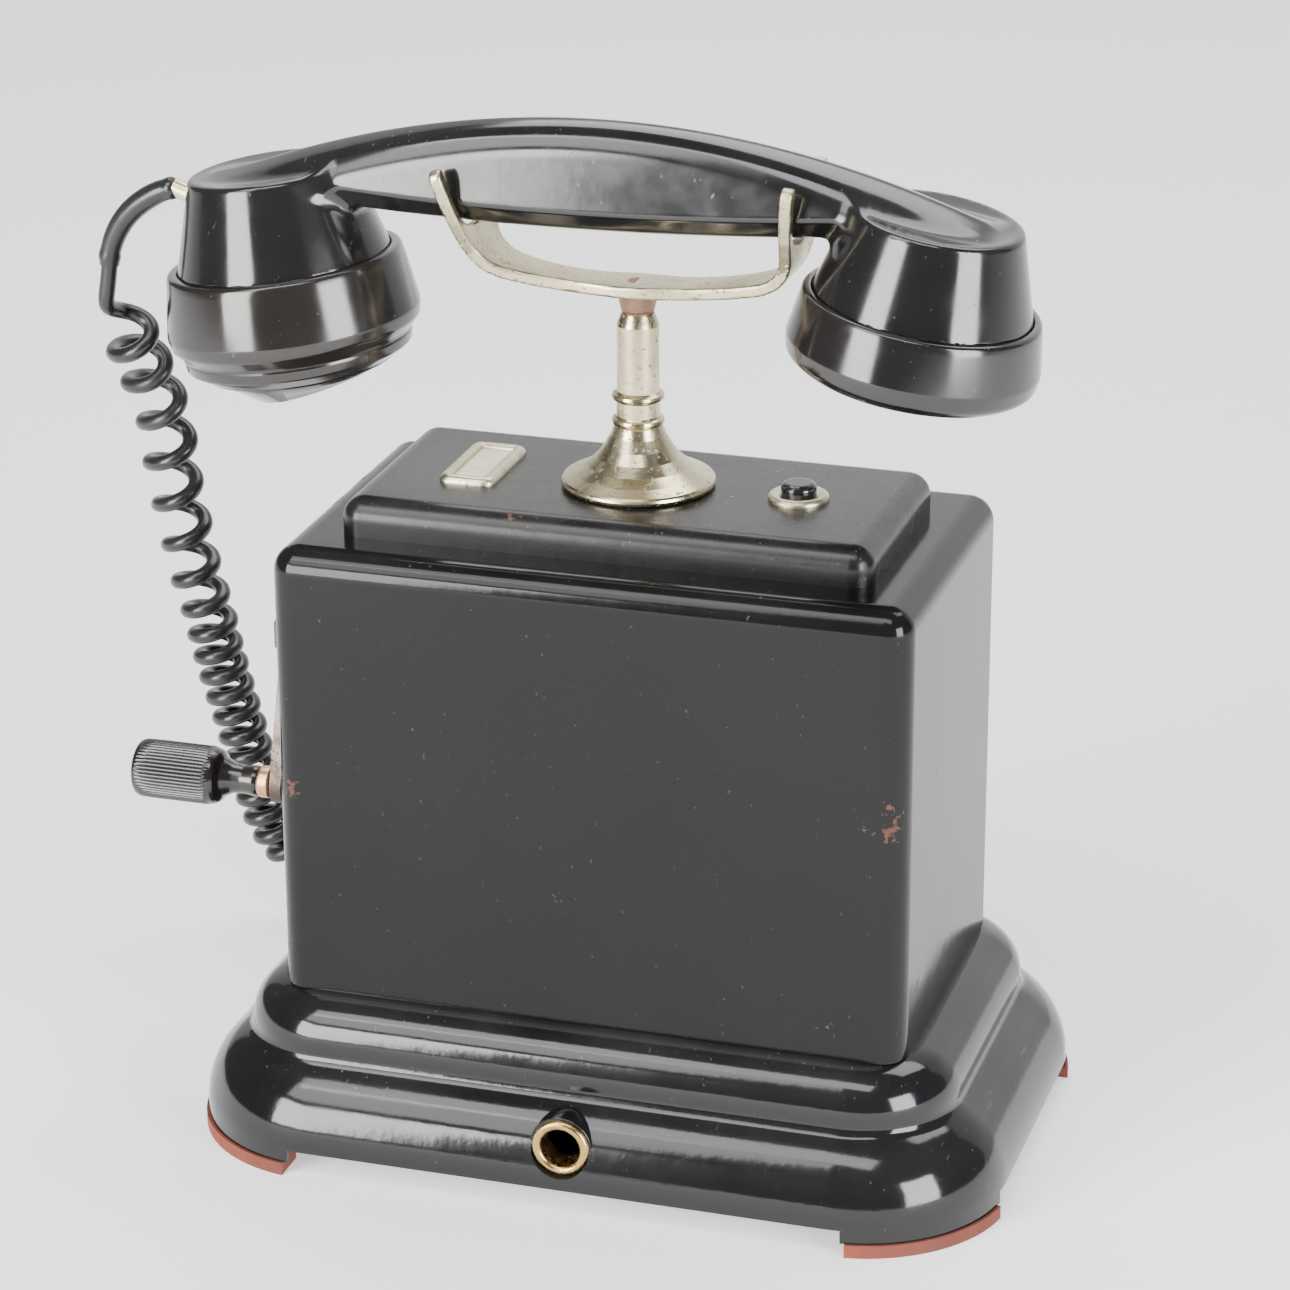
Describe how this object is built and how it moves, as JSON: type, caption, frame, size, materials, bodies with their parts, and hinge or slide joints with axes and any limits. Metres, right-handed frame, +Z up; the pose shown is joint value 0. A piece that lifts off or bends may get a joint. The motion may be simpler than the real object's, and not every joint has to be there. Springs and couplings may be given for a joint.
{
  "type": "crank desk telephone",
  "caption": "Desk telephone with a magneto crank, a black steel case on a stepped base, a column with a nickelled cradle, and a curved handset on a curly cord.",
  "frame": {"origin": "on the table, under the axis of the column", "axes": "+X towards the receiver end, away from the crank; -Y the front; +Z up the column"},
  "size_m": [0.256, 0.1641, 0.2572],
  "materials": {
    "base_shell": "gloss black stove enamel, worn",
    "base_plate": "matt",
    "base_screws": "plain",
    "foot_front_left": "matt red-brown",
    "foot_front_right": "matt red-brown",
    "foot_rear_left": "matt red-brown",
    "foot_rear_right": "matt red-brown",
    "front_eyelet": "tarnished",
    "cord_gland": "satin black",
    "line_inlet": "tarnished",
    "case_cover": "gloss black stove enamel, worn",
    "case_screws": "plain",
    "top_plinth": "gloss black stove enamel, worn",
    "label_frame": "nickel plate, worn",
    "label_card": "matt",
    "button_collar": "nickel plate, worn",
    "button_cap": "gloss",
    "button_spring": "plain",
    "button_contacts": "matt",
    "column": "nickel plate, worn",
    "column_nut": "plain",
    "plunger_rod": "red-brown tarnish",
    "cradle_cone": "red-brown tarnish",
    "cradle_spring": "plain",
    "cradle": "nickel plate, worn",
    "hook_bracket": "plain",
    "hook_lever": "plain",
    "hook_contacts": "matt",
    "handset_body": "gloss",
    "transmitter_cap": "gloss",
    "transmitter_capsule": "satin",
    "receiver_cap": "gloss",
    "receiver_capsule": "satin",
    "cord_ferrule": "plain",
    "cord_boot": "satin black",
    "handset_cord_lead": "satin black",
    "handset_cord_coil": "satin black",
    "handset_cord_tail": "satin black",
    "crank_bush": "plain",
    "bush_nut": "plain",
    "crank_shaft": "plain",
    "crank_arm": "darkened",
    "crank_nut": "darkened",
    "knob_spindle": "darkened",
    "crank_knob": "gloss",
    "knob_ferrule": "plain",
    "drive_gear": "plain",
    "pinion": "plain",
    "armature": "copper wound",
    "magneto_frame": "satin",
    "magnets": "painted",
    "ringer_frame": "satin",
    "ringer_coils": "wound",
    "gongs": "nickel plate",
    "clapper": "plain",
    "induction_coil": "wound",
    "capacitor": "satin",
    "terminal_block": "matt"
  },
  "bodies": {
    "phone": {"base_shell": "base_shell", "base_plate": "base_plate", "base_screws": "base_screws", "foot_front_left": "foot_front_left", "foot_front_right": "foot_front_right", "foot_rear_left": "foot_rear_left", "foot_rear_right": "foot_rear_right", "front_eyelet": "front_eyelet", "cord_gland": "cord_gland", "line_inlet": "line_inlet", "case_cover": "case_cover", "case_screws": "case_screws", "top_plinth": "top_plinth", "label_frame": "label_frame", "label_card": "label_card", "button_collar": "button_collar", "button_spring": "button_spring", "button_contacts": "button_contacts", "column": "column", "column_nut": "column_nut", "cradle_spring": "cradle_spring", "hook_bracket": "hook_bracket", "hook_contacts": "hook_contacts", "handset_cord_coil": "handset_cord_coil", "handset_cord_tail": "handset_cord_tail", "crank_bush": "crank_bush", "bush_nut": "bush_nut", "magneto_frame": "magneto_frame", "magnets": "magnets", "ringer_frame": "ringer_frame", "ringer_coils": "ringer_coils", "gongs": "gongs", "induction_coil": "induction_coil", "capacitor": "capacitor", "terminal_block": "terminal_block"},
    "button": {"button_cap": "button_cap"},
    "cradle_body": {"plunger_rod": "plunger_rod", "cradle_cone": "cradle_cone", "cradle": "cradle"},
    "hook": {"hook_lever": "hook_lever"},
    "handset": {"handset_body": "handset_body", "transmitter_cap": "transmitter_cap", "transmitter_capsule": "transmitter_capsule", "receiver_cap": "receiver_cap", "receiver_capsule": "receiver_capsule", "cord_ferrule": "cord_ferrule", "cord_boot": "cord_boot", "handset_cord_lead": "handset_cord_lead"},
    "crank": {"crank_shaft": "crank_shaft", "crank_arm": "crank_arm", "crank_nut": "crank_nut", "knob_spindle": "knob_spindle", "drive_gear": "drive_gear"},
    "knob": {"crank_knob": "crank_knob", "knob_ferrule": "knob_ferrule"},
    "rotor": {"armature": "armature", "pinion": "pinion"},
    "striker": {"clapper": "clapper"}
  },
  "joints": [
    {"name": "cradle_lift", "type": "slide", "parent": "phone", "child": "cradle_body", "axis": [0, 0, 1], "range_m": [0, 0.005], "stiffness_N_per_m": 100, "springref_m": 0.025, "deforming": ["cradle_spring"]},
    {"name": "hook_turn", "type": "hinge", "parent": "phone", "child": "hook", "pos_m": [0.015, 0, 0.138], "axis": [0, 1, 0], "range_deg": [0, 20]},
    {"name": "handset_lift", "type": "slide", "parent": "cradle_body", "child": "handset", "axis": [0.309, 0, 0.9511], "range_m": [0, 0.03]},
    {"name": "button_press", "type": "slide", "parent": "phone", "child": "button", "axis": [0, 0, -1], "range_m": [0, 0.003], "stiffness_N_per_m": 300, "springref_m": -0.001, "deforming": ["button_spring"]},
    {"name": "crank_spin", "type": "hinge", "parent": "phone", "child": "crank", "pos_m": [-0.08, 0, 0.118], "axis": [1, 0, 0], "continuous": true},
    {"name": "knob_spin", "type": "hinge", "parent": "crank", "child": "knob", "pos_m": [-0.11, -0.01396, 0.08105], "axis": [-1, 0, 0], "continuous": true},
    {"name": "armature_spin", "type": "hinge", "parent": "phone", "child": "rotor", "pos_m": [-0.03, 0, 0.0838], "axis": [1, 0, 0], "continuous": true},
    {"name": "clapper_swing", "type": "hinge", "parent": "phone", "child": "striker", "pos_m": [0.04, 0, 0.081], "axis": [0, 1, 0], "range_deg": [-5, 5], "stiffness_Nm_per_rad": 0.02}
  ],
  "couplings": [
    {"joint": "hook_turn", "follows": "cradle_lift", "rad_per_m": 66.667},
    {"joint": "armature_spin", "follows": "crank_spin", "ratio": -3.75}
  ]
}
